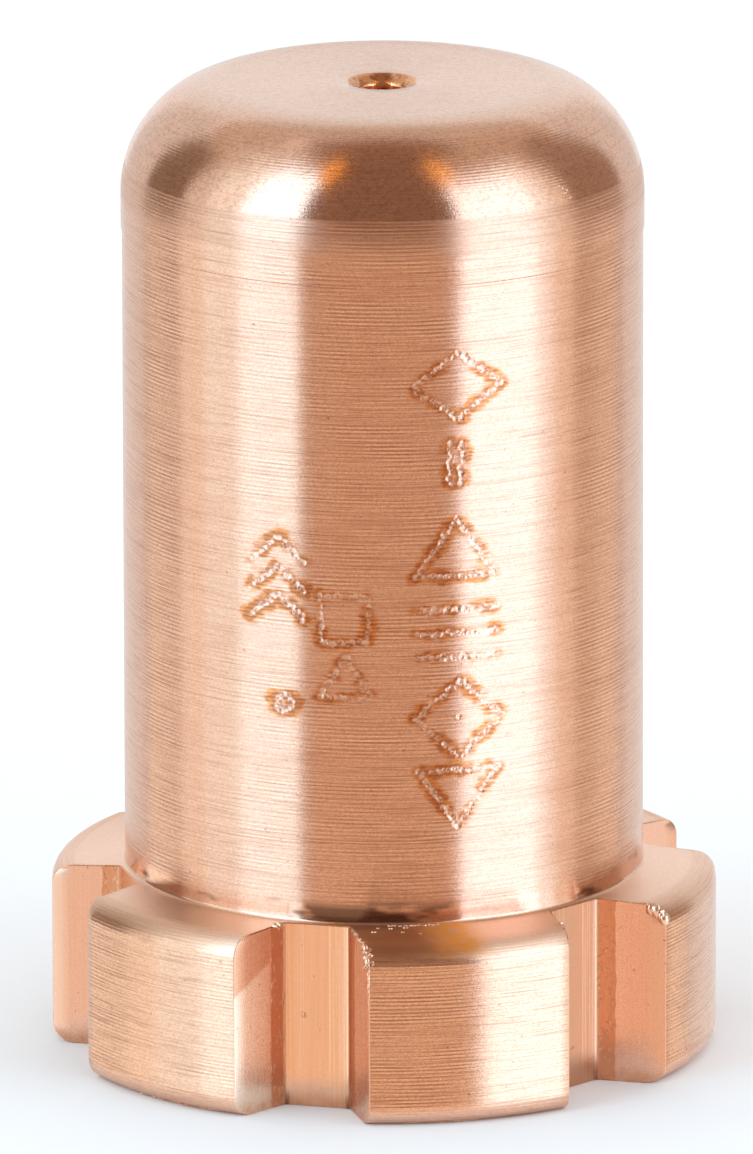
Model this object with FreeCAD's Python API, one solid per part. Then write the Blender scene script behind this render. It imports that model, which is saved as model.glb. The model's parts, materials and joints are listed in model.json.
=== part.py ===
import FreeCAD, Part
import math
import os

# Plasma torch nozzle (contact tip), turned and slotted from one copper bar.
# Frame: origin at the centre of the seating face, +Z along the bore to the nose,
# one lobe of the flange centred on -Y.  All lengths in millimetres, angles in degrees.

# Body
total_height = 21.1
barrel_diameter = 11.1
shoulder_band_height = 0.73     # cylindrical land left by the nose cut, under the shoulder arc
shoulder_band_proud = 0.025     # the land stands this far out of the barrel
shoulder_radius = 2.5           # large rounding from the barrel to the nose face
shoulder_sweep = 72.2           # how far that rounding turns before it runs out at the face
face_blend_radius = 1.93        # softer rounding between the shoulder and the flat nose face

# Flange with gas slots
flange_diameter = 14.24
flange_height = 3.94            # seating face to the rim of the flange's upper face
flange_top_slope = 3.5          # the upper face climbs to the barrel at this angle
flange_foot_radius = 0.08       # fillet where the upper face meets the barrel
rim_top_radius = 0.42
rim_bottom_radius = 0.45
slot_count = 6
slot_floor_width = 1.432        # flat floor, corner to corner
slot_floor_land = 0.11          # the floor stands this far out of the barrel's surface
slot_corner_radius = 0.15       # left by the cutter between floor and wall

# Inside, from the seating face to the nose
seat_bore_diameter = 8.6        # takes the gas distributor
seat_bore_depth = 9.0
seat_mouth_chamfer = 0.3
seat_step_chamfer = 0.25        # lead-in from the seat down into the arc chamber
chamber_diameter = 6.4          # arc chamber round the electrode
chamber_cone_angle = 118.0      # included angle of the chamber's closed end
orifice_diameter = 0.8
orifice_length = 1.9            # cylindrical part of the orifice
countersink_diameter = 1.484
countersink_angle = 90.0

# Derived sizes
barrel_radius = barrel_diameter / 2
band_radius = barrel_radius + shoulder_band_proud
flange_radius = flange_diameter / 2
seat_radius = seat_bore_diameter / 2
chamber_radius = chamber_diameter / 2
orifice_radius = orifice_diameter / 2
countersink_radius = countersink_diameter / 2
slot_floor_radius = barrel_radius + slot_floor_land
slot_half_angle = 180.0 / slot_count
foot_rise = (flange_radius - barrel_radius) * math.tan(math.radians(flange_top_slope))
foot_height = flange_height + foot_rise

cut_overrun = 1.0               # cutting solids run this far past the faces they cut
largest_share = 0.95            # a radius may use up to this share of the room it has


def cone_length(wide_radius, narrow_radius, included_angle):
    """Axial length of a cone between two radii."""
    return (wide_radius - narrow_radius) / math.tan(math.radians(included_angle / 2))


class Outline:
    """Half section in the XZ plane, drawn as lines and arcs from point to point."""

    def __init__(self, radius, height):
        self.here = FreeCAD.Vector(radius, 0, height)
        self.start = self.here
        self.edges = []

    def line(self, radius, height):
        end = FreeCAD.Vector(radius, 0, height)
        self.edges.append(Part.LineSegment(self.here, end).toShape())
        self.here = end

    def arc(self, centre_radius, centre_height, arc_radius, from_angle, to_angle):
        """Arc about a centre, with angles from +X towards +Z; a line leads to its start."""
        points = []
        for angle in (from_angle, (from_angle + to_angle) / 2, to_angle):
            turn = math.radians(angle)
            points.append(FreeCAD.Vector(centre_radius + arc_radius * math.cos(turn), 0,
                                         centre_height + arc_radius * math.sin(turn)))
        if self.here.distanceToPoint(points[0]) > 1e-6:
            self.line(points[0].x, points[0].z)
        else:
            points[0] = self.here
        self.edges.append(Part.Arc(*points).toShape())
        self.here = points[2]

    def revolved(self):
        """Close the section and turn it about the Z axis."""
        self.line(self.start.x, self.start.z)
        face = Part.Face(Part.Wire(self.edges))
        return face.revolve(FreeCAD.Vector(0, 0, 0), FreeCAD.Vector(0, 0, 1), 360)


def draw_flange(outline):
    """Seating face, rounded rim and the sloping upper face, up to the barrel."""
    centre = flange_radius - rim_bottom_radius
    outline.arc(centre, rim_bottom_radius, rim_bottom_radius, -90, 0)
    slope = math.radians(flange_top_slope)
    centre = flange_radius - rim_top_radius
    rim_drop = rim_top_radius / math.cos(slope) - rim_top_radius * math.tan(slope)
    outline.arc(centre, flange_height - rim_drop, rim_top_radius, 0, 90 - flange_top_slope)
    foot_centre = barrel_radius + flange_foot_radius
    lift = flange_foot_radius / math.cos(slope) - flange_foot_radius * math.tan(slope)
    outline.arc(foot_centre, foot_height + lift, flange_foot_radius, 270 - flange_top_slope, 180)


def draw_nose(outline):
    """Barrel, shoulder band, shoulder rounding and the flat face."""
    arc_drop = shoulder_radius * math.sin(math.radians(shoulder_sweep))
    shoulder_height = total_height - arc_drop
    shoulder_centre = band_radius - shoulder_radius
    band_foot = shoulder_height - shoulder_band_height
    outline.line(barrel_radius, band_foot - shoulder_band_proud)
    outline.line(band_radius, band_foot)

    largest_blend = largest_share * (shoulder_radius + arc_drop) / 2
    blend = min(face_blend_radius, largest_blend)
    across = math.sqrt((shoulder_radius - blend) ** 2 - (arc_drop - blend) ** 2)
    meeting_angle = math.degrees(math.atan2(arc_drop - blend, across))
    outline.arc(shoulder_centre, shoulder_height, shoulder_radius, 0, meeting_angle)
    outline.arc(shoulder_centre + across, total_height - blend, blend, meeting_angle, 90)
    outline.line(0, total_height)


def make_turned_body():
    """Outside of the nozzle as it leaves the lathe, still solid."""
    outline = Outline(0, 0)
    draw_flange(outline)
    draw_nose(outline)
    return outline.revolved()


def make_bore():
    """Everything drilled and bored along the axis, as one solid to cut away."""
    countersink_depth = cone_length(countersink_radius, orifice_radius, countersink_angle)
    orifice_top = total_height - countersink_depth
    orifice_foot = orifice_top - orifice_length
    chamber_top = orifice_foot - cone_length(chamber_radius, orifice_radius, chamber_cone_angle)

    outline = Outline(0, -cut_overrun)
    outline.line(seat_radius + seat_mouth_chamfer + cut_overrun, -cut_overrun)
    outline.line(seat_radius, seat_mouth_chamfer)
    outline.line(seat_radius, seat_bore_depth)
    outline.line(chamber_radius + seat_step_chamfer, seat_bore_depth)
    outline.line(chamber_radius, seat_bore_depth + seat_step_chamfer)
    outline.line(chamber_radius, chamber_top)
    outline.line(orifice_radius, orifice_foot)
    outline.line(orifice_radius, orifice_top)
    widening = cut_overrun * math.tan(math.radians(countersink_angle / 2))
    outline.line(countersink_radius + widening, total_height + cut_overrun)
    outline.line(0, total_height + cut_overrun)
    return outline.revolved()


def make_slot_cutter():
    """One gas slot centred on +X: flat floor, rounded corners, walls along the lobes."""
    half_angle = math.radians(slot_half_angle)
    reach = flange_radius + cut_overrun
    floor_half = slot_floor_width / 2
    mouth_half = floor_half + (reach - slot_floor_radius) * math.tan(half_angle)
    corners = [
        FreeCAD.Vector(slot_floor_radius, -floor_half, 0),
        FreeCAD.Vector(reach, -mouth_half, 0),
        FreeCAD.Vector(reach, mouth_half, 0),
        FreeCAD.Vector(slot_floor_radius, floor_half, 0),
    ]
    face = Part.Face(Part.makePolygon(corners + corners[:1]))
    run = foot_height + 2 * cut_overrun
    cutter = face.extrude(FreeCAD.Vector(0, 0, run))
    cutter.translate(FreeCAD.Vector(0, 0, -cut_overrun))

    def is_floor_corner(edge):
        middle = edge.CenterOfMass
        along_z = abs(edge.Length - run) < 1e-6
        return along_z and abs(middle.x - slot_floor_radius) < 1e-6

    corner_edges = [edge for edge in cutter.Edges if is_floor_corner(edge)]
    widest = largest_share * floor_half / math.tan(half_angle)
    return cutter.makeFillet(min(slot_corner_radius, widest), corner_edges)


def make_nozzle_body():
    body = make_turned_body().cut(make_bore())
    cutter = make_slot_cutter()
    for index in range(slot_count):
        angle = -90 + slot_half_angle + index * 2 * slot_half_angle
        slot = cutter.copy()
        slot.rotate(FreeCAD.Vector(0, 0, 0), FreeCAD.Vector(0, 0, 1), angle)
        body = body.cut(slot)
    return body.removeSplitter()


os.makedirs("parts", exist_ok=True)
nozzle_body = make_nozzle_body()
nozzle_body.exportStep("parts/nozzle_body.step")
print("nozzle_body", nozzle_body.isValid(), len(nozzle_body.Solids),
      "volume", round(nozzle_body.Volume, 2))
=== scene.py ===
"""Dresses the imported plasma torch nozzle: its turned copper skin, the peened marks on the
barrel, the burrs that the cutter left, and a plain studio round it."""

import json
import math
import random

import bmesh
import bpy
import numpy as np
from bpy.props import (
    FloatProperty,
    FloatVectorProperty,
    IntProperty,
    PointerProperty,
)
from mathutils import Matrix, Quaternion, Vector
from mathutils.kdtree import KDTree

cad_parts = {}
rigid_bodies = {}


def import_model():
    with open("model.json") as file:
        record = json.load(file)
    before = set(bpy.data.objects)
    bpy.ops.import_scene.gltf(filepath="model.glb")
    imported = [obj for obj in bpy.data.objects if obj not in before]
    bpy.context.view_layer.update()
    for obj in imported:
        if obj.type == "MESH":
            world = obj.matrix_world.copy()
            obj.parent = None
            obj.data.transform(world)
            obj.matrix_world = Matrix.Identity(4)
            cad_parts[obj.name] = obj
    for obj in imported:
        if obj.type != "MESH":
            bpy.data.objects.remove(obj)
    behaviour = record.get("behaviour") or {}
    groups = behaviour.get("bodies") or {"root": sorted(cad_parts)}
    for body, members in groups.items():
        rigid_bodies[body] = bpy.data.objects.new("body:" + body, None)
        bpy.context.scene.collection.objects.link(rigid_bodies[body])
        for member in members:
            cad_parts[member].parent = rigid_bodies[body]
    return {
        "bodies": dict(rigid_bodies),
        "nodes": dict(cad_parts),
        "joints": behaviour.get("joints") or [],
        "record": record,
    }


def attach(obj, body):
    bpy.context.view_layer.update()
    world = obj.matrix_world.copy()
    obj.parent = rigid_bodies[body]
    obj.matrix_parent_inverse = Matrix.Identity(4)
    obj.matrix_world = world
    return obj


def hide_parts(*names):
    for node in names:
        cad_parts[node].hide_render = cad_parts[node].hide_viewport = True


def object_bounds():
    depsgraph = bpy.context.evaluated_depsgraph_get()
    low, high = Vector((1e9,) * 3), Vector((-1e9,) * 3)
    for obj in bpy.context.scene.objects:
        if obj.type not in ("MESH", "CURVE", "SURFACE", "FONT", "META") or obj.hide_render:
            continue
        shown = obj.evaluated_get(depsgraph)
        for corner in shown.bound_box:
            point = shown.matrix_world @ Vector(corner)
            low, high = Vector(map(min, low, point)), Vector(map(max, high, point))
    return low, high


bl_info = {
    "name": "Plasma Torch Nozzle",
    "version": (1, 0, 0),
    "blender": (4, 5, 0),
    "location": "3D View > Sidebar > Nozzle",
    "description": "Builds the finish of a turned copper nozzle round its packed frame",
    "category": "Add Mesh",
}

MM = 0.001
MICRON = 0.000001
BODY = "root"
NODE = "nozzle_body"
SKIN = "turned_skin"
BURRS = "edge_burrs"

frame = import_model()
CAD_LOW, CAD_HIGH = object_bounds()
FRONT_ANGLE = -math.pi / 2      # the first lobe is centred on -Y

# Columns of the skin in half a lobe and half a slot, from the lobe's middle
ARC_COLUMNS = 7
EDGE_COLUMNS = 2
WALL_COLUMNS = 4
CORNER_COLUMNS = 4
FLOOR_COLUMNS = 3
HALF_COLUMNS = ARC_COLUMNS + EDGE_COLUMNS + WALL_COLUMNS + CORNER_COLUMNS + FLOOR_COLUMNS
CORNER_MIDDLE = ARC_COLUMNS + EDGE_COLUMNS + WALL_COLUMNS + CORNER_COLUMNS // 2

ZONES = ("turned", "milled", "bored")     # finishes of the skin, in the order of its slots

# Rows of the skin in each stretch of its section
RIM_ROWS = 6
SIDE_ROWS = 3
BASE_ROWS = 4
TOP_ROWS = 5
FOOT_ROWS = 4
BARREL_ROWS = 76
BAND_ROWS = 4
RIDGE_ROWS = 6
SHOULDER_ROWS = 16
BLEND_ROWS = 16
FACE_ROWS = 8
MOUTH_ROWS = 4
STEP_ROWS = 2
THROAT_ROWS = 5
SEAT_ROWS = 8

# How strongly the tool's marks show on each stretch, 0..1. ROOT is the barrel just above
# its fillet, and a LIP is a broken edge.
BASE_MARKS = 0.50
RIM_MARKS = 0.95
TOP_MARKS = 0.16
FOOT_MARKS = 0.10
ROOT_MARKS = 0.15
BARREL_MARKS = 0.80
SHOULDER_MARKS = 0.50
BLEND_MARKS = 0.48
FACE_MARKS = 0.30
LIP_MARKS = 0.20
MOUTH_MARKS = 0.30
BORE_MARKS = 0.60
BASE_LIP_MARKS = 0.40

# Small lengths of the skin
SUPPORT = 0.03 * MM             # a row this near a rounding keeps the flat beside it flat
NOSE_LIP = 0.012 * MM           # height of the broken edge round the countersink
BASE_LIP = 0.02 * MM            # broken edge at the mouth of the seat
ROOT_PLAIN = 0.28 * MM          # the barrel is nearly unmarked this far above its fillet
ROOT_TOP = 0.45 * MM            # and fully marked from here up
ON_BARREL = 0.001 * MM          # a point this near the barrel's radius lies on the barrel

TOP_CROWDING = 1.15             # above 1, rows of the upper face crowd towards the rim
RIDGE_FADE = 0.7                # below 1, ridges stay deep over more of their run
RIDGE_RUNOUT = math.radians(0.4)        # from the last ridge to the smooth shoulder
FAR = 9.0                       # millimetres from a slot's corner, for points on no slot
SKIN_CREASE = math.radians(28)  # edges that turn more than this stay sharp
BURR_CREASE = math.radians(50)


# ---------------------------------------------------------------- settings

def length(name, description, default):
    """A length in metres that the sidebar shows in the scene's unit."""
    return FloatProperty(name=name, description=description, default=default,
                         min=0.0, unit="LENGTH", subtype="DISTANCE", precision=5)


def angle(name, description, degrees):
    """An angle, given in degrees."""
    return FloatProperty(name=name, description=description, default=math.radians(degrees),
                         unit="ROTATION", subtype="ANGLE")


def colour(name, description, default):
    """A linear colour."""
    return FloatVectorProperty(name=name, description=description, default=default,
                               size=3, min=0.0, max=4.0, subtype="COLOR")


class NozzleSizes(bpy.types.PropertyGroup):
    """The sizes of the nozzle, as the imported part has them. The broken edges of the slots
    and the worn mouth of the orifice are on the skin only."""

    height: length("Height", "From the seating face to the nose", CAD_HIGH.z)
    barrel_diameter: length("Barrel", "Diameter of the barrel", 11.1 * MM)
    band_height: length("Shoulder band", "Straight land under the shoulder", 0.73 * MM)
    band_proud: length("Band step", "How far that land stands out of the barrel", 0.025 * MM)
    shoulder_radius: length("Shoulder", "Rounding from the barrel to the nose", 2.5 * MM)
    shoulder_sweep: angle("Shoulder sweep", "How far the shoulder rounding would turn", 72.2)
    face_blend: length("Face blend", "Softer rounding next to the flat nose face", 1.93 * MM)
    flange_diameter: length("Flange", "Diameter over the lobes", 2 * CAD_HIGH.y)
    flange_height: length("Flange height", "Seating face to the top of the rim", 3.94 * MM)
    flange_slope: angle("Flange slope", "How steeply the upper face climbs to the barrel", 3.5)
    foot_fillet: length("Foot fillet", "Where the upper face meets the barrel", 0.08 * MM)
    rim_top: length("Upper rim", "Rounding of the flange's upper rim", 0.42 * MM)
    rim_bottom: length("Lower rim", "Rounding of the flange's lower rim", 0.45 * MM)
    slots: IntProperty(name="Slots", description="Gas slots round the flange", default=6, min=3)
    floor_width: length("Slot floor", "Width of a slot's floor, corner to corner", 1.432 * MM)
    floor_land: length("Slot land", "How far a slot's floor stands out of the barrel", 0.11 * MM)
    slot_corner: length("Slot corner", "Rounding between a slot's floor and wall", 0.15 * MM)
    broken_edge: length("Broken edge", "Width of the broken edges of the slots", 0.026 * MM)
    seat_diameter: length("Seat", "Bore for the gas distributor", 8.6 * MM)
    seat_depth: length("Seat depth", "Depth of that bore", 9.0 * MM)
    seat_chamfer: length("Seat mouth", "Chamfer at the mouth of the seat", 0.3 * MM)
    step_chamfer: length("Seat step", "Lead from the seat into the chamber", 0.25 * MM)
    chamber_diameter: length("Chamber", "Arc chamber", 6.4 * MM)
    chamber_cone: angle("Chamber cone", "Included angle of the chamber's closed end", 118.0)
    orifice_diameter: length("Orifice", "Diameter of the orifice", 0.8 * MM)
    orifice_length: length("Orifice length", "Straight part of the orifice", 1.9 * MM)
    countersink: length("Countersink", "Diameter of the countersink at the nose", 1.484 * MM)
    mouth_diameter: length("Mouth", "Worn mouth of the orifice under the countersink", 1.07 * MM)
    mouth_depth: length("Mouth depth", "From the nose to the bottom of that mouth", 0.36 * MM)
    mouth_round: length("Mouth round", "Rounding between countersink and mouth", 0.11 * MM)


class NozzleFinish(bpy.types.PropertyGroup):
    """How the copper was cut, marked and stained, and the shade, reflections, sheen and
    glints painted on it.
    """

    copper: colour("Copper", "Clean turned copper", (0.93, 0.585, 0.435))
    copper_dark: colour("Worked copper", "Copper in the bottom of the turning marks",
                        (0.80, 0.44, 0.31))
    stain: colour("Heat stain", "Amber stain beside a peened dot", (0.76, 0.265, 0.05))
    stain_deep: colour("Deep stain", "Middle of the strongest stains", (0.42, 0.13, 0.06))
    stain_violet: colour("Violet stain", "Tint in parts of the stains", (0.40, 0.20, 0.22))
    # painted sheen: the paler copper painted into the peened dots
    dot: colour("Peened dot", "Fresh copper in a peened dot", (0.97, 0.68, 0.55))
    face: colour("Nose face", "Paler, finely cut nose face", (0.83, 0.60, 0.475))
    # painted shade: colour of the dark reflection at the barrel's foot
    dark_reflection: colour("Dirt", "Dirt at the barrel's foot", (0.16, 0.09, 0.065))
    milled: colour("Milled copper", "Floors of the slots", (0.89, 0.515, 0.33))
    wall: colour("Slot wall", "Satin copper of the slots' walls", (0.87, 0.53, 0.40))
    # painted reflection: the deeper colour of the bored copper stands for light bounced inside
    bored: colour("Bored copper", "Inside of the nozzle", (0.96, 0.51, 0.29))
    # painted glint: the burrs' copper is painted brighter than the turned copper
    burr: colour("Burr", "Torn copper of the burrs", (1.0, 0.71, 0.53))
    roughness: FloatProperty(name="Roughness", description="Of the turned surface",
                             default=0.22, min=0.0, max=1.0, subtype="FACTOR")
    barrel_feed: length("Barrel feed", "Tool feed per turn on the barrel", 0.09 * MM)
    flange_feed: length("Flange feed", "Tool feed per turn on the flange", 0.08 * MM)
    nose_feed: length("Nose feed", "Tool feed per turn on the shoulder and face", 0.07 * MM)
    ridge_feed: length("Ridge feed", "Feed of the coarse ridges under the shoulder", 0.073 * MM)
    ridge_depth: length("Ridge depth", "Depth of those ridges", 0.005 * MM)
    ridge_top: length("Ridge line", "Height at which those ridges end", 19.39 * MM)
    dot_pitch: length("Dot pitch", "From one peened dot to the next", 0.085 * MM)
    dot_radius: length("Dot radius", "Radius of a peened dot", 0.076 * MM)
    dot_depth: length("Dot depth", "Depth of a peened dot", 0.0042 * MM)
    seed: IntProperty(name="Seed", description="Of everything uneven", default=7)


class StudioSettings(bpy.types.PropertyGroup):
    """Where the camera stands, how far the panels and amber cards stand round the nozzle,
    and how far the metal sees the table.
    """

    azimuth: angle("Azimuth", "Where the camera stands", -15.43)
    elevation: angle("Elevation", "How far the camera looks down", 15.01)
    roll: angle("Roll", "How far the camera leans", -0.13)
    distance: length("Distance", "From the camera to the middle of the nozzle", 0.4974)
    look_height: length("Look height", "Height that the camera looks at", 10 * MM)
    lens: FloatProperty(name="Lens", description="Focal length in millimetres", default=726.1)
    shift_x: FloatProperty(name="Shift across", description="Lens shift to the right",
                           default=-0.00595, precision=5)
    shift_y: FloatProperty(name="Shift up", description="Lens shift upwards",
                           default=0.0074, precision=5)
    panel_radius: length("Panels", "Distance of the panels round the nozzle", 0.45)
    card_radius: length("Amber cards", "Distance of the two amber cards", 0.4365)
    table_radius: length("Table", "How far the metal sees the table", 7.3 * MM)


class NozzleSettings(bpy.types.PropertyGroup):
    """Everything that a user would change."""

    sizes: PointerProperty(type=NozzleSizes)
    finish: PointerProperty(type=NozzleFinish)
    studio: PointerProperty(type=StudioSettings)


# ---------------------------------------------------------------- shader maths

class Value:
    """A shader socket that can be used in an expression."""

    def __init__(self, builder, socket):
        self.builder = builder
        self.socket = socket

    def maths(self, operation, *others):
        """A Math node with this socket first."""
        inputs = dict(enumerate([self, *others]))
        return self.builder.node("ShaderNodeMath", {"operation": operation}, inputs)

    def reflected(self, operation, first):
        """A Math node with a number before this socket."""
        return self.builder.node("ShaderNodeMath", {"operation": operation},
                                 {0: first, 1: self})

    def __add__(self, other):
        return self.maths("ADD", other)

    def __radd__(self, other):
        return self.reflected("ADD", other)

    def __sub__(self, other):
        return self.maths("SUBTRACT", other)

    def __rsub__(self, other):
        return self.reflected("SUBTRACT", other)

    def __mul__(self, other):
        return self.maths("MULTIPLY", other)

    def __rmul__(self, other):
        return self.reflected("MULTIPLY", other)

    def fraction(self):
        return self.maths("FRACT")

    def absolute(self):
        return self.maths("ABSOLUTE")

    def root(self):
        return self.maths("SQRT")

    def spread(self, low, high, to_low=0.0, to_high=1.0):
        """Maps low..high smoothly to to_low..to_high and holds it there."""
        return self.builder.node(
            "ShaderNodeMapRange", {"interpolation_type": "SMOOTHSTEP"},
            {"Value": self, "From Min": low, "From Max": high,
             "To Min": to_low, "To Max": to_high})


class Finish:
    """Builds one material. node() makes every node in it."""

    def __init__(self, name):
        self.material = bpy.data.materials.new(name)
        self.material.use_nodes = True
        self.tree = self.material.node_tree
        self.tree.nodes.clear()

    def node(self, kind, settings=None, inputs=None, output=0):
        """Makes a node, with its settings first, and returns one output as a Value. A node
        without outputs returns nothing."""
        made = self.tree.nodes.new(kind)
        for name, setting in (settings or {}).items():
            setattr(made, name, setting)
        for key, given in (inputs or {}).items():
            if isinstance(given, Value):
                self.tree.links.new(given.socket, made.inputs[key])
            else:
                made.inputs[key].default_value = given
        return Value(self, made.outputs[output]) if made.outputs else None

    def attribute(self, name):
        """A number kept on the mesh's points."""
        return self.node("ShaderNodeAttribute", {"attribute_name": name}, output="Fac")

    def position(self):
        """Object coordinates in millimetres, as three values."""
        place = self.node("ShaderNodeTexCoord", output="Object")
        scaled = self.node("ShaderNodeVectorMath", {"operation": "SCALE"},
                           {0: place, "Scale": 1 / MM})
        apart = self.node("ShaderNodeSeparateXYZ", inputs={0: scaled})
        outputs = apart.socket.node.outputs
        return [Value(self, outputs[index]) for index in range(3)]

    def noise(self, x, y, z, detail=2.0, roughness=0.5):
        """Noise, about 0..1, at a place given in its own grains."""
        place = self.node("ShaderNodeCombineXYZ", inputs={0: x, 1: y, 2: z})
        return self.node("ShaderNodeTexNoise", {"noise_dimensions": "3D"},
                         {"Vector": place, "Scale": 1.0, "Detail": detail,
                          "Roughness": roughness})

    def mix(self, factor, first, second):
        """A colour between two colours."""
        def rgba(given):
            return given if isinstance(given, Value) else (*given, 1.0)
        return self.node("ShaderNodeMix", {"data_type": "RGBA"},
                         {0: factor, 6: rgba(first), 7: rgba(second)}, output=2)

    def bump(self, height):
        """A bump from a height in microns."""
        return self.node("ShaderNodeBump", {}, {"Height": height, "Distance": MICRON,
                                                "Strength": 1.0})

    def metal(self, base_color, roughness, normal, anisotropic=0.0, rotation=0.0):
        """Ends the material in a metal and returns the material."""
        surface = self.node("ShaderNodeBsdfPrincipled", {}, {
            "Base Color": base_color, "Metallic": 1.0, "Roughness": roughness,
            "Anisotropic": anisotropic, "Anisotropic Rotation": rotation,
            "Normal": normal})
        self.node("ShaderNodeOutputMaterial", {}, {"Surface": surface})
        return self.material


def tool_marks(make, x, y):
    """The tool's own ridge, once a turn and wandering a little, with the finer threads and
    the dark dashes beside it."""
    feed = make.attribute("feed_turns")
    wobble = make.noise(x * 0.16, y * 0.16, feed * 0.3, detail=1.0)
    ridge = ((feed + wobble * 0.7).fraction() - 0.5).absolute() * 2.0
    threads = make.noise(x * 0.13, y * 0.13, feed * 3.1, detail=2.0, roughness=0.7)
    dashes = make.noise(x * 0.8, y * 0.8, feed * 5.2, detail=1.0, roughness=0.6)
    return ridge, threads, dashes


def heat_stains(make, finish, shade, ridge, peened, blotch, x, y, z):
    """Stains that run along the turning lines, deepest close to the peened dots, and the
    paler copper painted into the dots as a painted sheen. Returns the colour and the amber
    mask."""
    stain = make.attribute("heat_stain")
    ragged = make.noise(x * 2.6, y * 2.6, z * 21.0, detail=3.0, roughness=0.65)
    patch = make.noise(x * 1.3, y * 1.3, z * 1.3, detail=2.0).spread(0.36, 0.60, 0.30, 1.30)
    amber = (stain * patch * 1.4 + (ragged - 0.5) * 1.6).spread(0.10, 0.90)
    amber = amber * stain.spread(0.02, 0.35) * (ridge * 0.45 + 0.65)
    deep = amber * (blotch + stain * 0.25).spread(0.56, 0.72)
    violet = amber * blotch.spread(0.42, 0.34)
    shade = make.mix(amber * 0.92, shade, finish.stain)
    shade = make.mix(deep * 0.80, shade, finish.stain_deep)
    shade = make.mix(violet * 0.55, shade, finish.stain_violet)
    # painted sheen: the dots are painted paler, as if each dent caught light from every side
    dot_sheen = peened * make.noise(x * 11.0, y * 11.0, z * 13.0).spread(0.40, 0.56, 0.15, 0.90)
    return make.mix(dot_sheen, shade, finish.dot), amber


def foot_shade_and_shelf_reflections(make, finish, shade, blotch, x, y, z):
    """Painted shade round the barrel's foot, strongest in front: the dark reflection of the
    flange's upper face, broken up by noise. The upper face is painted paler, with painted
    brown and amber reflections on its front. Returns the colour and how much duller the
    upper face is."""
    # painted shade at the barrel's foot, standing for the dark reflection of the flange's upper
    # face
    dark_reflection = make.noise(x * 0.8, y * 0.8, z * 2.4, detail=2.0, roughness=0.6)
    foot = z.spread(4.62, 4.30) * z.spread(4.06, 4.10)
    front = x.spread(-3.3, -2.7) * x.spread(0.6, -0.8) * y.spread(-4.0, -4.5)
    shade = make.mix((dark_reflection + front * 0.28).spread(0.56, 0.74) * foot * 0.90, shade,
                     finish.dark_reflection)
    # painted light and reflections on the flange's upper face: paler overall, brown and amber on
    # its front
    shelf = z.spread(3.62, 3.86) * z.spread(4.08, 4.04)
    outer = shelf * y.spread(-5.4, -5.7)
    brown = outer * x.spread(-3.6, -2.6) * x.spread(0.3, -0.9)
    amber = outer * x.spread(-1.1, -0.4) * x.spread(0.6, -0.1)
    shade = make.mix(shelf * 0.5, shade, (1.0, 0.68, 0.50))
    shade = make.mix(brown * dark_reflection.spread(0.30, 0.62, 0.35, 0.85), shade, (0.70, 0.33, 0.16))
    shade = make.mix(amber * blotch.spread(0.34, 0.60, 0.5, 0.95), shade, (1.0, 0.46, 0.11))
    return shade, shelf * 0.18 + brown * 0.18 + amber * 0.22


def turned_copper(finish):
    """Copper off the lathe: circular tool marks, faint dark lines, amber stains beside the
    peened dots, a painted sheen in the dots, painted light on the rim, and painted shade and
    reflections at the barrel's foot and on the flange's upper face."""
    make = Finish("turned_copper")
    x, y, z = make.position()
    depth = make.attribute("mark_depth")
    peened = make.attribute("peened")
    line, top = finish.ridge_top / MM, CAD_HIGH.z / MM
    nose = z.spread(line - 0.04, line + 0.04)
    face = z.spread(top - 0.30, top - 0.04)

    ridge, threads, dashes = tool_marks(make, x, y)
    uneven = make.noise(x * 0.6, y * 0.6, z * 1.4, detail=1.0).spread(0.36, 0.66, 0.25, 1.0)
    grain = make.noise(x * 22.0, y * 22.0, z * 34.0)
    crumbs = make.noise(x * 15.0, y * 15.0, z * 15.0, detail=1.0)
    height = depth * (ridge * uneven * 3.8 + threads * 2.5 + dashes * 1.9)
    height = height + grain * (nose * 0.9 + depth * 0.8) + peened * crumbs * 5.0

    cloud = make.noise(x * 0.5, y * 0.5, z * 1.7, detail=2.0, roughness=0.6)
    shade = make.mix(cloud.spread(0.48, 0.72) * 0.30, finish.copper, finish.copper_dark)
    # painted light: the deeply marked rim is painted paler, to lift its highlights
    shade = make.mix(depth.spread(0.82, 0.94) * 0.75, shade, (1.0, 0.64, 0.455))
    shade = make.mix(threads.spread(0.60, 0.76) * depth * 0.50, shade, (0.98, 0.70, 0.54))
    shade = make.mix(threads.spread(0.47, 0.30) * depth * 0.55, shade, (0.58, 0.28, 0.18))
    shade = make.mix(dashes.spread(0.55, 0.69) * depth * 0.62, shade, (0.46, 0.20, 0.12))
    shade = make.mix(face * 0.62, shade, finish.face)
    shade = make.mix(grain.spread(0.40, 0.62, 0.34, 0.0), shade, (0.60, 0.33, 0.24))
    mottle = make.noise(x * 9.0, y * 9.0, z * 15.0, detail=2.0, roughness=0.6)
    blotchy = nose * 0.24 + 0.20 - face * 0.18
    shade = make.mix(mottle.spread(0.48, 0.66) * blotchy, shade, (0.56, 0.29, 0.19))
    specks = make.noise(x * 6.0, y * 6.0, z * 8.0, detail=3.0).spread(0.70, 0.76)
    shade = make.mix(specks * 0.6, shade, (0.40, 0.17, 0.11))

    blotch = make.noise(x * 4.0, y * 4.0, z * 8.0, detail=2.0)
    shade, amber = heat_stains(make, finish, shade, ridge, peened, blotch, x, y, z)
    shade, dulled = foot_shade_and_shelf_reflections(make, finish, shade, blotch, x, y, z)
    band = z.spread(line - 0.95, line - 0.55) * (1.0 - nose)
    rough = depth.spread(0.10, 0.80, -0.08, 0.0) + band * 0.10 + dulled
    rough = rough + dashes * 0.06 + peened * 0.16 + amber * 0.05 - nose * 0.02
    return make.metal(shade, rough + finish.roughness, make.bump(height), anisotropic=0.9,
                      rotation=0.25)


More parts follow.
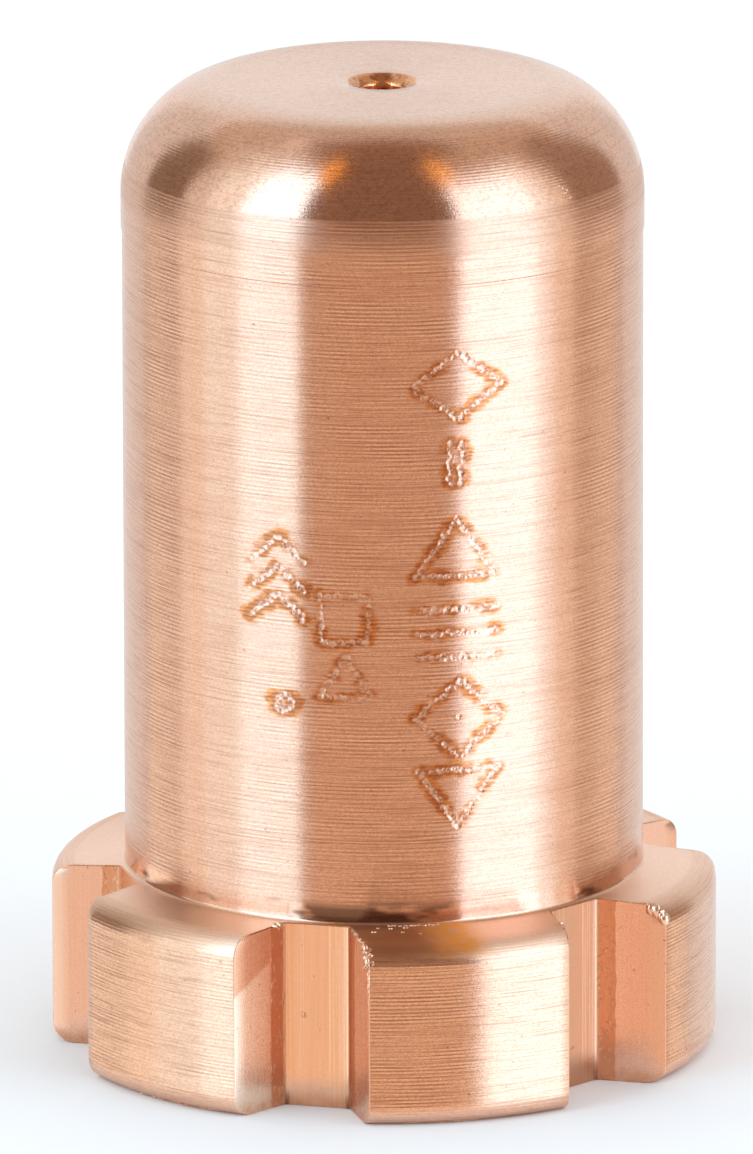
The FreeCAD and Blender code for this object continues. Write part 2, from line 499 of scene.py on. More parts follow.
def milled_copper(finish):
    """Slot walls and floors: fine streaks along the cutter's path, parallel to the axis,
    and a torn strip on the wall beside the corner, painted darker orange as a painted
    reflection. Painted shade and reflections also fall on one wall, one floor and the
    faces near the bottom."""
    make = Finish("milled_copper")
    x, y, z = make.position()
    corner = make.attribute("from_corner")
    ragged = make.noise(x * 4.0, y * 4.0, z * 3.0, detail=3.0)
    edge = corner + (ragged - 0.5) * 0.12
    strip = edge.spread(0.41, 0.38) * corner.spread(0.00, 0.02)
    track = corner.spread(-0.44, -0.42) * corner.spread(-0.02, -0.04)
    line = corner.spread(-0.030, -0.008) * corner.spread(0.030, 0.008)
    satin = corner.spread(0.36, 0.46)
    streaks = make.noise(x * 13.0, y * 13.0, z * 0.30, detail=3.0, roughness=0.6)
    fine = make.noise(corner * 22.0, z * 0.12, z * 0.02, detail=2.0)
    grain = make.noise(x * 24.0, y * 24.0, z * 24.0)
    torn = make.noise(x * 9.0, y * 9.0, z * 8.0, detail=3.0).spread(0.50, 0.72) * strip
    chips = make.noise(x * 6.0, y * 6.0, z * 5.0, detail=3.0).spread(0.69, 0.76)
    height = streaks * 1.4 + fine * (track * 3.0 + 0.6) + grain * 0.1 + torn * 7.0
    shade = make.mix(streaks.spread(0.48, 0.66) * 0.30, finish.milled, (0.78, 0.41, 0.26))
    shade = make.mix(satin * 0.8, shade, finish.wall)

    # one wall has a painted reflection: darker above a slanting line and paler below it
    here = x.spread(-5.5, -5.3) * x.spread(-3.6, -3.9) * y.spread(-3.8, -4.1) * satin
    above = here * (z + edge * 0.55).spread(3.40, 3.55)
    shade = make.mix(above, shade, (0.80, 0.46, 0.30))
    shade = make.mix(here * (1.0 - above), shade, (1.0, 0.78, 0.61))
    # painted shade: the floor of one slot is painted darker than the rest
    floor_shade = x.spread(0.8, 1.0) * y.spread(-3.4, -3.6) * corner.spread(0.0, -0.02)
    shade = make.mix(floor_shade * 0.95, shade, (0.66, 0.37, 0.23))

    # painted warm reflection: towards the bottom the milled faces are painted orange, and the
    # slots' lower corners darker still
    low = z.spread(0.42, 0.06) * make.noise(x * 3.0, y * 3.0, z * 3.0, detail=2.0)
    pocket = low * corner.spread(0.16, 0.02) * corner.spread(-0.16, -0.02)
    shade = make.mix(low, shade, (0.62, 0.27, 0.12))
    shade = make.mix(pocket * 1.4, shade, (0.16, 0.07, 0.04))
    # painted reflection: the torn strip is painted darker orange; its torn bits are paler copper
    shade = make.mix(strip * 0.80, shade, (0.68, 0.28, 0.14))
    shade = make.mix(torn * 0.45, shade, (0.93, 0.60, 0.42))
    # painted highlight along the cutter's step line on the floor
    shade = make.mix(fine.spread(0.50, 0.62) * track * 0.35, shade, (0.97, 0.66, 0.48))
    shade = make.mix(line * 0.70, shade, (0.42, 0.19, 0.11))
    shade = make.mix(grain.spread(0.42, 0.62, 0.12, 0.0), shade, (0.60, 0.32, 0.21))
    shade = make.mix(chips * 0.4, shade, (0.46, 0.21, 0.13))
    rough = streaks * 0.06 + grain * 0.05 + satin * 0.04 + strip * 0.06 + 0.18
    return make.metal(shade, rough, make.bump(height + chips * 3.0), anisotropic=0.85)


def bored_copper(finish):
    """Inside the nozzle: drilled and reamed, painted deeper in colour than the outside as a
    painted reflection of the light bounced between its copper walls.
    """
    make = Finish("bored_copper")
    x, y, z = make.position()
    feed = make.attribute("feed_turns")
    turns = make.noise(x * 0.6, y * 0.6, feed * 1.3, detail=3.0, roughness=0.6)
    smear = make.noise(x * 5.0, y * 5.0, z * 3.0, detail=3.0, roughness=0.6)
    grain = make.noise(x * 18.0, y * 18.0, z * 18.0)
    normal = make.bump(turns * 2.2 + smear * 9.0 + grain * 2.0)
    shade = make.mix(turns.spread(0.40, 0.64) * 0.5, finish.bored, (0.72, 0.32, 0.17))
    shade = make.mix(smear.spread(0.50, 0.62) * 0.55, shade, (0.46, 0.19, 0.11))
    shade = make.mix(grain.spread(0.54, 0.64) * 0.30, shade, (1.0, 0.66, 0.42))
    return make.metal(shade, grain * 0.08 + 0.11, normal)


def burr_copper(finish):
    """Torn copper of the burrs, painted brighter than the copper as a painted glint, with dark
    folds.
    """
    make = Finish("burr_copper")
    x, y, z = make.position()
    folds = make.noise(x * 12.0, y * 12.0, z * 12.0, detail=2.0)
    shade = make.mix(folds.spread(0.54, 0.70) * 0.5, finish.burr, (0.52, 0.26, 0.16))
    return make.metal(shade, folds * 0.12 + 0.26, make.bump(folds * 4.0))


# ---------------------------------------------------------------- the turned skin

def arc_steps(centre, radius, start, end, steps):
    """Points (radius, height) along an arc of the section, the first one included."""
    turns = [start + (end - start) * step / steps for step in range(steps + 1)]
    return [(centre[0] + radius * math.cos(turn), centre[1] + radius * math.sin(turn))
            for turn in turns]


def line_steps(start, end, steps):
    """Points along a line, the first one left out."""
    return [tuple(a + (b - a) * step / steps for a, b in zip(start, end))
            for step in range(1, steps + 1)]


def shoulder_centre(sizes):
    """The middle of the shoulder's rounding, as (radius, height)."""
    out = sizes.barrel_diameter / 2 + sizes.band_proud - sizes.shoulder_radius
    return out, sizes.height - sizes.shoulder_radius * math.sin(sizes.shoulder_sweep)


class LobeOutline:
    """Half a lobe and half a slot seen from above, with the lobe's middle on +X, and the
    flange's upper face."""

    def __init__(self, sizes):
        self.rim = sizes.flange_diameter / 2
        self.slope = math.tan(sizes.flange_slope)
        self.flange_height = sizes.flange_height
        self.half_slot = math.pi / sizes.slots
        self.floor = sizes.barrel_diameter / 2 + sizes.floor_land
        self.wall = (self.floor * math.sin(self.half_slot)
                     - sizes.floor_width / 2 * math.cos(self.half_slot))
        self.fillet = sizes.slot_corner
        self.edge = sizes.broken_edge
        self.fillet_y = self.wall + self.fillet
        self.fillet_x = (self.floor + self.fillet - self.fillet_y * math.sin(self.half_slot)
                         ) / math.cos(self.half_slot)

    def columns(self, rim, inset):
        """The outline's points at one height: rim is the lobe's radius there, and inset
        is how far the slot's own faces draw back at a broken edge."""
        wall = self.wall - inset
        last = math.asin((wall - self.edge) / rim)
        points = [(rim * math.cos(last * step / ARC_COLUMNS),
                   rim * math.sin(last * step / ARC_COLUMNS))
                  for step in range(ARC_COLUMNS + 1)]
        wall_x = math.sqrt(rim * rim - wall * wall) - self.edge
        swell = self.edge * (math.sqrt(0.5) - 0.5)
        points.append(((points[-1][0] + wall_x) / 2 + swell,
                       (points[-1][1] + wall) / 2 + swell))
        points.append((wall_x, wall))
        points += line_steps((wall_x, wall), (self.fillet_x, wall), WALL_COLUMNS)
        sweep = math.pi / 2 - self.half_slot
        points += arc_steps((self.fillet_x, self.fillet_y), self.fillet + inset,
                            -math.pi / 2, -math.pi / 2 - sweep, CORNER_COLUMNS)[1:]
        floor = self.floor - inset
        end = (floor * math.cos(self.half_slot), floor * math.sin(self.half_slot))
        return points + line_steps(points[-1], end, FLOOR_COLUMNS)

    def top_height(self, radii):
        """Height of the flange's sloping upper face at a radius."""
        return self.flange_height + (self.rim - radii) * self.slope


def mirrored(half, slots):
    """Turns a list for half a lobe's columns into one for the whole ring of points."""
    return (half[:0:-1] + half[:-1]) * slots


def from_corner(half):
    """How far each point of an outline lies from the corner between floor and wall, in
    millimetres: above zero on the wall and below it on the floor."""
    steps = [math.dist(here, after) / MM for here, after in zip(half, half[1:])]
    return [sum(steps[column:CORNER_MIDDLE]) - sum(steps[CORNER_MIDDLE:column])
            for column in range(len(half))]


def whole_ring(half, slots):
    """Repeats half a lobe's points round the nozzle, as radii and rising angles."""
    radii = mirrored([math.hypot(*point) for point in half], slots)
    angles = []
    for lobe in range(slots):
        middle = FRONT_ANGLE + lobe * 2 * math.pi / slots
        angles += [middle - math.atan2(y, x) for x, y in half[:0:-1]]
        angles += [middle + math.atan2(y, x) for x, y in half[:-1]]
    return np.array(radii), np.array(angles)


class SkinBuilder:
    """Builds the nozzle's skin as rings of points, from the base up the outside, over
    the nose and down the bore, closed into one mesh."""

    def __init__(self, sizes, finish):
        self.sizes = sizes
        self.finish = finish
        self.outline = LobeOutline(sizes)
        self.barrel = sizes.barrel_diameter / 2
        count = 2 * HALF_COLUMNS * sizes.slots
        first = FRONT_ANGLE - math.pi / sizes.slots
        self.even_angles = first + np.arange(count) * 2 * math.pi / count
        self.rings = []

    def add_ring(self, radii, angles, heights, turns, depth, zone, corner=FAR):
        """Adds a ring of points. turns counts the tool's turns so far, depth is how strongly
        its marks show, and zone is the finish of the faces below this ring."""
        count = len(self.even_angles)
        ring = {"points": np.stack([radii * np.cos(angles), radii * np.sin(angles),
                                    np.broadcast_to(heights, count)], axis=1),
                "turns": np.broadcast_to(turns, count),
                "depth": np.full(count, depth), "zone": zone,
                "corner": np.broadcast_to(corner, count)}
        self.rings.append(ring)

    def add_turned(self, rows, zone):
        """Adds rings of a surface of revolution, from (radius, height, turns, depth)."""
        for radius, height, turns, depth in rows:
            self.add_ring(np.full(len(self.even_angles), radius), self.even_angles, height,
                          turns, depth, zone)

    def profile(self):
        """The rim's section from the base to the upper face: (radius, height) rows."""
        sizes, rim = self.sizes, self.outline.rim
        low, high = sizes.rim_bottom, sizes.rim_top
        slope = sizes.flange_slope
        rows = arc_steps((rim - low, low), low, -math.pi / 2, 0.0, RIM_ROWS)
        centre_height = sizes.flange_height - high / math.cos(slope) + high * math.tan(slope)
        rows += line_steps(rows[-1], (rim, low + SUPPORT), 1)
        rows += line_steps(rows[-1], (rim, centre_height - SUPPORT), SIDE_ROWS)
        rows += [(rim, centre_height)]
        return rows + arc_steps((rim - high, centre_height), high, 0.0,
                                math.pi / 2 - slope, RIM_ROWS)

    def build_flange(self):
        """Base, rim, slots and upper face. Returns the tool's turns at the last row, and
        the rows of the fillet that the upper face ends in."""
        sizes, feed, outline = self.sizes, self.finish.flange_feed, self.outline
        profile = self.profile()
        last = len(profile) - 1
        halves = [outline.columns(radius, outline.edge if row in (0, last) else 0.0)
                  for row, (radius, _) in enumerate(profile)]
        around = [whole_ring(half, sizes.slots) for half in halves]
        self.build_base(profile[0][0], *around[0])

        rim_top = profile[-1]
        on_slot = np.array(mirrored([column > ARC_COLUMNS for column in
                                     range(HALF_COLUMNS + 1)], sizes.slots))
        turns, here = 0.0, profile[0]
        for row, (radius, height) in enumerate(profile):
            turns += math.dist(here, (radius, height)) / feed
            here = (radius, height)
            radii, angles = around[row]
            lift = (outline.top_height(radii) - rim_top[1]) * height / rim_top[1]
            heights = height + np.where(on_slot, np.maximum(lift, 0.0), 0.0)
            drawn_in = {0: radii - radius, last: radius - radii}.get(row, 0.0)
            corner = np.array(mirrored(from_corner(halves[row]), sizes.slots))
            self.add_ring(radii, angles, heights, turns + drawn_in / feed, RIM_MARKS,
                          "turned" if row == 0 else "rim", corner)

        foot_radius, foot_rows = self.foot()
        for row in range(1, TOP_ROWS + 1):
            share = (row / TOP_ROWS) ** TOP_CROWDING
            across = radii + (foot_radius - radii) * share
            self.add_ring(across, angles + (self.even_angles - angles) * share,
                          outline.top_height(across), turns + (rim_top[0] - across) / feed,
                          TOP_MARKS, "turned")
        return turns + (rim_top[0] - foot_radius) / feed, foot_rows

    def build_base(self, edge, radii, angles):
        """The seating face, from the mouth of the seat out to the slotted edge."""
        mouth = self.sizes.seat_diameter / 2 + self.sizes.seat_chamfer
        for row in range(BASE_ROWS):
            share = row / BASE_ROWS
            out = mouth + (radii - mouth) * share
            self.add_ring(out, self.even_angles + (angles - self.even_angles) * share, 0.0,
                          (out - edge) / self.finish.flange_feed, BASE_MARKS, "turned")

    def foot(self):
        """Where the upper face's fillet starts, and the fillet's own rows."""
        sizes = self.sizes
        fillet, slope = sizes.foot_fillet, sizes.flange_slope
        foot_height = self.outline.top_height(self.barrel)
        centre = (self.barrel + fillet,
                  foot_height + fillet / math.cos(slope) - fillet * math.tan(slope))
        rows = arc_steps(centre, fillet, 1.5 * math.pi - slope, math.pi, FOOT_ROWS)
        return centre[0] - fillet * math.sin(slope), rows[1:]

    def build_outside(self, turns, foot_rows):
        """Barrel, shoulder and nose face. Returns the section where the bore goes on."""
        sizes, finish = self.sizes, self.finish
        feed, fine_feed = finish.barrel_feed, finish.nose_feed
        walk = Section(foot_rows[0], turns)
        walk.go(foot_rows, finish.flange_feed, FOOT_MARKS)
        foot_top = foot_rows[-1][1]
        walk.line(self.barrel, foot_top + ROOT_PLAIN, 2, feed, ROOT_MARKS)
        walk.line(self.barrel, foot_top + ROOT_TOP, 1, feed, BARREL_MARKS)

        centre = shoulder_centre(sizes)
        band = self.barrel + sizes.band_proud
        band_foot = centre[1] - sizes.band_height
        walk.line(self.barrel, band_foot - sizes.band_proud, BARREL_ROWS, feed, BARREL_MARKS)
        walk.line(band, band_foot, 1, feed, BARREL_MARKS)
        walk.line(band, centre[1], BAND_ROWS, feed, BARREL_MARKS)

        blend, radius = sizes.face_blend, sizes.shoulder_radius
        drop = sizes.height - centre[1]
        across = math.sqrt((radius - blend) ** 2 - (drop - blend) ** 2)
        meeting = math.atan2(drop - blend, across)
        ridge_end = math.asin((finish.ridge_top - centre[1]) / radius)
        walk.go(self.ridges(centre, ridge_end), feed, BARREL_MARKS)
        walk.go(arc_steps(centre, radius, ridge_end + RIDGE_RUNOUT, meeting, SHOULDER_ROWS),
                fine_feed, SHOULDER_MARKS)
        walk.go(arc_steps((centre[0] + across, sizes.height - blend), blend, meeting,
                          math.pi / 2, BLEND_ROWS)[1:], fine_feed, BLEND_MARKS)
        sink = sizes.countersink / 2
        walk.line(sink + SUPPORT, sizes.height, FACE_ROWS, fine_feed, FACE_MARKS)
        walk.line(sink, sizes.height - NOSE_LIP, 1, fine_feed, LIP_MARKS)
        self.add_turned(walk.rows, "turned")
        return walk

    def ridges(self, centre, end):
        """The coarse ridges that the tool left under the shoulder line: real grooves
        that fade towards the barrel."""
        finish, radius = self.finish, self.sizes.shoulder_radius
        run = radius * end
        steps = int(run / finish.ridge_feed * RIDGE_ROWS)
        rows = []
        for step in range(1, steps + 1):
            along = run * step / steps
            cut = (run - along) / finish.ridge_feed
            wave = 0.5 - 0.5 * math.cos(2 * math.pi * cut)
            fade = (along / run) ** RIDGE_FADE
            turn = along / radius
            reach = radius - finish.ridge_depth * fade * wave
            rows.append((centre[0] + reach * math.cos(turn),
                         centre[1] + reach * math.sin(turn)))
        return rows

    def build_inside(self, walk):
        """Countersink, orifice, chamber and seat, down to the mouth at the base."""
        sizes, feed = self.sizes, self.finish.barrel_feed
        sink, orifice = sizes.countersink / 2, sizes.orifice_diameter / 2
        chamber, seat = sizes.chamber_diameter / 2, sizes.seat_diameter / 2
        cone = (chamber - orifice) / math.tan(sizes.chamber_cone / 2)
        throat_foot = sizes.height - sink + orifice - sizes.orifice_length
        mouth, rounding = sizes.mouth_diameter / 2, sizes.mouth_round
        centre = (mouth + rounding,
                  sizes.height - sink + mouth - rounding * math.tan(math.pi / 8))
        mouth_foot = sizes.height - sizes.mouth_depth
        inside = Section(walk.point, walk.turns)
        inside.go(arc_steps(centre, rounding, 0.75 * math.pi, math.pi, MOUTH_ROWS),
                  self.finish.nose_feed, MOUTH_MARKS)
        for radius, height, steps, marks in (
                (mouth, mouth_foot, STEP_ROWS, MOUTH_MARKS),
                (orifice, mouth_foot - mouth + orifice, STEP_ROWS, MOUTH_MARKS),
                (orifice, throat_foot, THROAT_ROWS, BORE_MARKS),
                (chamber, throat_foot - cone, THROAT_ROWS, BORE_MARKS),
                (chamber, sizes.seat_depth + sizes.step_chamfer, THROAT_ROWS, BORE_MARKS),
                (chamber + sizes.step_chamfer, sizes.seat_depth, 1, BORE_MARKS),
                (seat, sizes.seat_depth, STEP_ROWS, BORE_MARKS),
                (seat, sizes.seat_chamfer, SEAT_ROWS, BORE_MARKS),
                (seat + sizes.seat_chamfer - BASE_LIP, BASE_LIP, 1, BASE_LIP_MARKS)):
            inside.line(radius, height, steps, feed, marks)
        self.add_turned(inside.rows, "bored")

    def mesh(self, name):
        """Closes the rings into one mesh with its finishes and numbers."""
        count = len(self.even_angles)
        points = np.concatenate([ring["points"] for ring in self.rings])
        slot_half = [column >= ARC_COLUMNS for column in range(HALF_COLUMNS)]
        on_slot = (slot_half[::-1] + slot_half) * self.sizes.slots
        faces, zones = [], []
        for row, ring in enumerate(self.rings):
            below = (row - 1) % len(self.rings) * count
            above = row * count
            for column in range(count):
                after = (column + 1) % count
                faces.append((below + column, below + after, above + after, above + column))
                zone = ring["zone"]
                if zone == "rim":       # the rim's rows cross both lobes and slots
                    zone = "milled" if on_slot[column] else "turned"
                zones.append(ZONES.index(zone))
        mesh = bpy.data.meshes.new(name)
        mesh.from_pydata(points.tolist(), [], faces)
        mesh.polygons.foreach_set("material_index", zones)
        for key, source in (("feed_turns", "turns"), ("mark_depth", "depth"),
                            ("from_corner", "corner")):
            keep_numbers(mesh, key, np.concatenate([ring[source] for ring in self.rings]))
        return mesh


class Section:
    """A half section walked from point to point, with the tool's turns counted on it."""

    def __init__(self, point, turns):
        self.point = point
        self.turns = turns
        self.rows = []

    def go(self, points, feed, depth):
        """Walks through points at one feed and one strength of marks."""
        for point in points:
            self.turns += math.dist(self.point, point) / feed
            self.point = point
            self.rows.append((*point, self.turns, depth))

    def line(self, radius, height, steps, feed, depth):
        """Walks straight to a radius and height."""
        self.go(line_steps(self.point, (radius, height), steps), feed, depth)


def keep_numbers(mesh, name, values):
    """Stores one number a point on the mesh."""
    layer = mesh.attributes.get(name) or mesh.attributes.new(name, "FLOAT", "POINT")
    layer.data.foreach_set("value", np.asarray(values, np.float32))


def read_numbers(mesh, name):
    """Reads one number a point from the mesh."""
    values = np.zeros(len(mesh.vertices), np.float32)
    mesh.attributes[name].data.foreach_get("value", values)
    return values


def finish_mesh(mesh, crease):
    """Smooth faces, with edges that turn more than the crease angle kept sharp."""
    mesh.validate()
    mesh.polygons.foreach_set("use_smooth", [True] * len(mesh.polygons))
    mesh.set_sharp_from_angle(angle=crease)
    mesh.update()


def show_piece(mesh, name, finishes):
    """Puts a mesh in the scene as a piece that rides on the nozzle's body."""
    piece = bpy.data.objects.new(name, mesh)
    bpy.context.scene.collection.objects.link(piece)
    for material in finishes:
        mesh.materials.append(material)
    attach(piece, BODY)
    return piece


class NOZZLE_OT_turned_skin(bpy.types.Operator):
    """Builds the turned and slotted copper skin in place of the plain solid"""

    bl_idname = "nozzle.turned_skin"
    bl_label = "Turned Skin"

    def execute(self, context):
        settings = context.scene.nozzle
        skin = SkinBuilder(settings.sizes, settings.finish)
        turns, foot_rows = skin.build_flange()
        walk = skin.build_outside(turns, foot_rows)
        skin.build_inside(walk)
        mesh = skin.mesh(SKIN)
        finish_mesh(mesh, SKIN_CREASE)
        finish = settings.finish
        piece = show_piece(mesh, SKIN, [turned_copper(finish), milled_copper(finish),
                                        bored_copper(finish)])
        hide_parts(NODE)
        return {"FINISHED"}


# ---------------------------------------------------------------- the peened marks

def polygon(sides, width, height, turn=0.0):
    """A closed outline with its first corner at the top, as one stroke."""
    corners = [2 * math.pi * corner / sides + math.pi / 2 + turn for corner in
               range(sides + 1)]
    return [[(width / 2 * math.cos(a), height / 2 * math.sin(a)) for a in corners]]


def bars(count, run, gap, upright=False):
    """Parallel strokes of one length."""
    strokes = []
    for bar in range(count):
        place = (bar - (count - 1) / 2) * gap
        ends = [(-run / 2, place), (run / 2, place)]
        strokes.append([(b, a) if upright else (a, b) for a, b in ends])
    return strokes


def chevrons(count, width, rise, gap):
    """Bent strokes, one above the other."""
    return [[(-width / 2, level), (0.0, level + rise), (width / 2, level)]
            for level in ((bar - (count - 1) / 2) * gap - rise / 2 for bar in range(count))]


# Generic marks, in millimetres: how far round from the front lobe's middle, how high on
# the nozzle, the strokes, and how strongly the copper beside them is stained.
MARKS = (
    (0.11, 15.78, polygon(4, 1.95, 1.42), 0.62),
    (0.07, 14.10, bars(2, 0.86, 0.26, upright=True), 0.75),
    (0.08, 12.05, polygon(3, 2.05, 1.65), 0.72),
    (0.12, 10.38, bars(3, 1.80, 0.52), 0.62),
    (0.14, 8.52, polygon(4, 1.95, 1.66) + [[(0.0, 0.0), (0.0, 0.01)]], 0.66),
    (0.10, 6.98, polygon(3, 2.05, 1.65, math.pi), 0.60),
    (-2.33, 10.72, polygon(4, 1.45, 1.45, math.pi / 4), 0.50),
    (-2.30, 9.32, polygon(3, 1.25, 1.20), 0.55),
    (-3.80, 11.55, chevrons(3, 1.25, 0.55, 0.62), 1.05),
    (-3.66, 8.80, polygon(6, 0.36, 0.36), 1.25),
)


DOT_SCATTER = 0.020                 # millimetres that a dot strays from its stroke
DOT_SIZES = (0.65, 1.15)            # smallest and largest share of a dot's radius
STAIN_SHARES = (0.35, 1.5)          # weakest and strongest stain at one dot
DOT_END = 1.7                       # a dot's lip has died out this many radii from it
DOT_WEAR = 0.85                     # share of the tool marks that a dot wipes out
DOT_REACHES = (0.42, 0.24, 0.095)   # millimetres from a dot at which faces are split again
STAIN_REACH = 0.5                   # millimetres from a dot that a stain can reach
STAIN_WIDTH = 0.75                  # below 1, stains run farther round than up
STAIN_FALL = ((0.95, 0.125), (0.35, 0.22))      # strength, and millimetres to its fall


def dot_shape(near):
    """Height of a dot's section, near radii from its middle: a round pit, 1 deep, with a
    low lip."""
    pit = -max(0.0, 1.0 - (near / 0.85) ** 2)
    lip = 0.20 * math.exp(-((near - 1.02) / 0.24) ** 2)
    return pit + lip


def soaked(flat):
    """How strongly copper is stained, flat millimetres from a dot."""
    return sum(share * math.exp(-(flat / fall) ** 2) for share, fall in STAIN_FALL)


class Peening:
    """The rows of dots that make up the marks, laid out on the barrel."""

    def __init__(self, settings):
        self.finish = settings.finish
        self.barrel = settings.sizes.barrel_diameter / 2
        chance = random.Random(self.finish.seed)
        self.dots = []
        for across, up, strokes, stain in MARKS:
            for stroke in strokes:
                for x, z in self.along(stroke):
                    self.dots.append((across * MM + x + chance.gauss(0, DOT_SCATTER) * MM,
                                      up * MM + z + chance.gauss(0, DOT_SCATTER) * MM,
                                      chance.uniform(*DOT_SIZES),
                                      stain * chance.uniform(*STAIN_SHARES)))
        self.tree = KDTree(len(self.dots))
        for index, (x, z, _, _) in enumerate(self.dots):
            self.tree.insert((x, z, 0.0), index)
        self.tree.balance()

    def along(self, stroke):
        """Evenly spaced places along a stroke, in metres."""
        pitch = self.finish.dot_pitch / MM
        places, left = [], 0.0
        for start, end in zip(stroke, stroke[1:]):
            run = math.dist(start, end)
            while left <= run:
                share = left / run
                places.append(((start[0] + (end[0] - start[0]) * share) * MM,
                               (start[1] + (end[1] - start[1]) * share) * MM))
                left += pitch
            left -= run
        return places

    def unrolled(self, point):
        """A point on the barrel as (distance round from the front, height)."""
        round_angle = (math.atan2(point.y, point.x) - FRONT_ANGLE + math.pi) % (2 * math.pi)
        return (round_angle - math.pi) * self.barrel, point.z

    def refine(self, shape, reach):
        """Splits the barrel's faces that lie within reach of a dot."""
        edges = set()
        for face in shape.faces:
            corner = face.verts[0].co
            turned = face.material_index == ZONES.index("turned")
            if not turned or math.hypot(corner.x, corner.y) < self.barrel * 0.99:
                continue
            place = self.unrolled(face.calc_center_median())
            if self.tree.find((*place, 0.0))[2] < reach:
                edges.update(face.edges)
        made = bmesh.ops.subdivide_edges(shape, edges=list(edges), cuts=1,
                                         use_grid_fill=True)
        for vert in made["geom_inner"]:
            if isinstance(vert, bmesh.types.BMVert):
                flat = Vector((vert.co.x, vert.co.y))
                flat *= self.barrel / flat.length
                vert.co.x, vert.co.y = flat

    def dent(self, mesh):
        """Presses the dots into the barrel and records stain and dot on its points."""
        stain = np.zeros(len(mesh.vertices))
        peened = np.zeros(len(mesh.vertices))
        depth = read_numbers(mesh, "mark_depth")
        for vert in mesh.vertices:
            across = math.hypot(vert.co.x, vert.co.y)
            if abs(across - self.barrel) > ON_BARREL:
                continue
            push, peened[vert.index], stain[vert.index] = self.struck(*self.unrolled(vert.co))
            if push:
                share = 1.0 + push * self.finish.dot_depth / across
                vert.co.x *= share
                vert.co.y *= share
        keep_numbers(mesh, "heat_stain", stain)
        keep_numbers(mesh, "peened", peened)
        keep_numbers(mesh, "mark_depth", depth * (1.0 - DOT_WEAR * peened))

    def struck(self, x, z):
        """What the dots do to one place on the barrel: how far it is pushed out, in depths
        of a dot, how fully it is peened, and how strongly it is stained."""
        push, peened, stain = 0.0, 0.0, 0.0
        for place, index, gap in self.tree.find_range((x, z, 0.0), STAIN_REACH * MM):
            size, strength = self.dots[index][2:]
            near = gap / (self.finish.dot_radius * size)
            if near < DOT_END:
                push += dot_shape(near) * size
                peened = max(peened, min(1.0, (1.05 - near) * 3.0))
            flat = math.hypot((x - place.x) * STAIN_WIDTH, z - place.y) / MM
            stain = max(stain, strength * soaked(flat))
        return push, peened, stain


class NOZZLE_OT_peened_marks(bpy.types.Operator):
    """Dents the peened marks into the barrel and stains the copper beside them"""

    bl_idname = "nozzle.peened_marks"
    bl_label = "Peened Marks"

    def execute(self, context):
        peening = Peening(context.scene.nozzle)
        mesh = bpy.data.objects[SKIN].data
        shape = bmesh.new()
        shape.from_mesh(mesh)
        for reach in DOT_REACHES:
            peening.refine(shape, reach * MM)
        crowded = [face for face in shape.faces if len(face.verts) > 4]
        bmesh.ops.triangulate(shape, faces=crowded)
        shape.to_mesh(mesh)
        shape.free()
        peening.dent(mesh)
        finish_mesh(mesh, SKIN_CREASE)
        return {"FINISHED"}


# ---------------------------------------------------------------- burrs

class LobeFrame:
    """Places points on one lobe: out from the axis, sideways and up."""

    def __init__(self, sizes, lobe):
        angle = FRONT_ANGLE + lobe * 2 * math.pi / sizes.slots
        self.out = Vector((math.cos(angle), math.sin(angle), 0.0))
        self.side = Vector((-math.sin(angle), math.cos(angle), 0.0))
        self.up = Vector((0.0, 0.0, 1.0))

    def place(self, out, side, up):
        """A point given in the lobe's own directions."""
        return self.out * out + self.side * side + self.up * up


SLIVER_STEP = 0.022 * MM        # from one section of a torn sliver to the next
LUMP_JITTER = 0.15              # share of its radius that a lump is uneven by
SPECK_SIZES = (0.012, 0.04)     # radii in millimetres
SPECK_GAP = 0.04 * MM           # from the barrel to the nearest speck
FRINGE_IN = 0.62                # place of a fringe on the lower rounding, as shares of it
FRINGE_UP = 0.075
FRINGE_POINTS = 12


def torn_sliver(shape, path, lean, sideways, reach, root, chance):
    """A burr along a path: a thin closed fin whose crest is torn unevenly. It leans up to
    reach out of the path, and root is its width at the bottom."""
    stations = []
    for start, end in zip(path, path[1:]):
        count = max(1, round((end - start).length / SLIVER_STEP))
        stations += [start.lerp(end, index / count) for index in range(count)]
    stations.append(path[-1])
    wave, rows = 0.5, []
    for index, station in enumerate(stations):
        wave = min(1.0, max(0.15, wave + chance.uniform(-0.28, 0.28)))
        share = index / (len(stations) - 1)
        taper = min(1.0, 5.0 * share, 5.0 * (1.0 - share)) + 0.03
        crest = station + lean * (reach * wave * taper)
        crest += sideways * (root * chance.uniform(-0.9, 0.9) * taper)
        across = sideways * (root / 2 * taper * chance.uniform(0.8, 1.3))
        thin = across * 0.35
        sunk = station - lean * (root * 0.4)
        middle = sunk.lerp(crest, 0.55) + sideways * (root * chance.uniform(-0.4, 0.4) * taper)
        rows.append([sunk - across, sunk + across, middle + across * 0.8, crest + thin,
                     crest - thin, middle - across * 0.8])
    rows = [[shape.verts.new(point) for point in row] for row in rows]
    for low, high in zip(rows, rows[1:]):
        for index in range(len(low)):
            after = (index + 1) % len(low)
            shape.faces.new((low[index], high[index], high[after], low[after]))
    shape.faces.new(rows[0])
    shape.faces.new(rows[-1][::-1])


